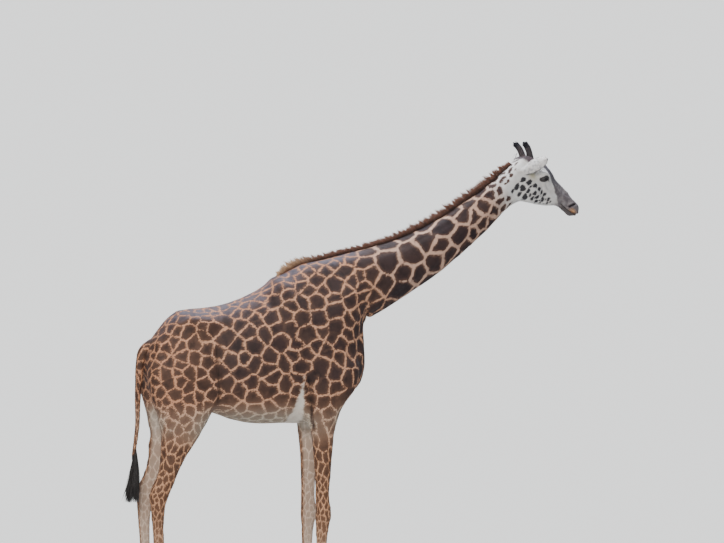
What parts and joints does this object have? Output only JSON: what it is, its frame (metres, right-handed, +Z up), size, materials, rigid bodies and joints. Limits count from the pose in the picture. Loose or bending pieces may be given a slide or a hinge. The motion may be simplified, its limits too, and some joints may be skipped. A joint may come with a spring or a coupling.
{
  "type": "giraffe",
  "caption": "Adult giraffe standing still on four hooves, neck stretched forward and up, head turned slightly to its left; patched coat, mane, two horns and tufted tail.",
  "frame": {"origin": "middle of the bottom face of the whole model's box, at the level of the hooves' soles", "axes": "+X forward, the way the animal faces; +Y to the animal's left; +Z up"},
  "size_m": [3.9058, 0.7904, 3.964],
  "materials": {
    "coat": "short flat hair: dark brown patches parted by pinkish tan lines",
    "face": "short hair: whitish cheeks with small dark spots, grey brown nose and muzzle",
    "mane": "stiff upright reddish brown hair",
    "tail_hair": "long coarse black hair",
    "horn": "skin-covered horn with dense black hair at its top",
    "ear": "short pale hair with a thin dark rim",
    "eye": "wet, dark and glossy",
    "hoof": "dull dark grey-brown horn with faint growth rings"
  },
  "bodies": {
    "root": {"ear_left": "ear", "ear_right": "ear", "eye_left": "eye", "eye_right": "eye", "foreleg_lower_left": "coat", "foreleg_lower_right": "coat", "foreleg_upper_left": "coat", "foreleg_upper_right": "coat", "head": "face", "hindleg_lower_left": "coat", "hindleg_lower_right": "coat", "hindleg_upper_left": "coat", "hindleg_upper_right": "coat", "hoof_fore_left_inner": "hoof", "hoof_fore_left_outer": "hoof", "hoof_fore_right_inner": "hoof", "hoof_fore_right_outer": "hoof", "hoof_hind_left_inner": "hoof", "hoof_hind_left_outer": "hoof", "hoof_hind_right_inner": "hoof", "hoof_hind_right_outer": "hoof", "horn_left": "horn", "horn_right": "horn", "mane": "mane", "neck": "coat", "tail": "coat", "tail_tuft": "tail_hair", "trunk": "coat"}
  },
  "joints": []
}
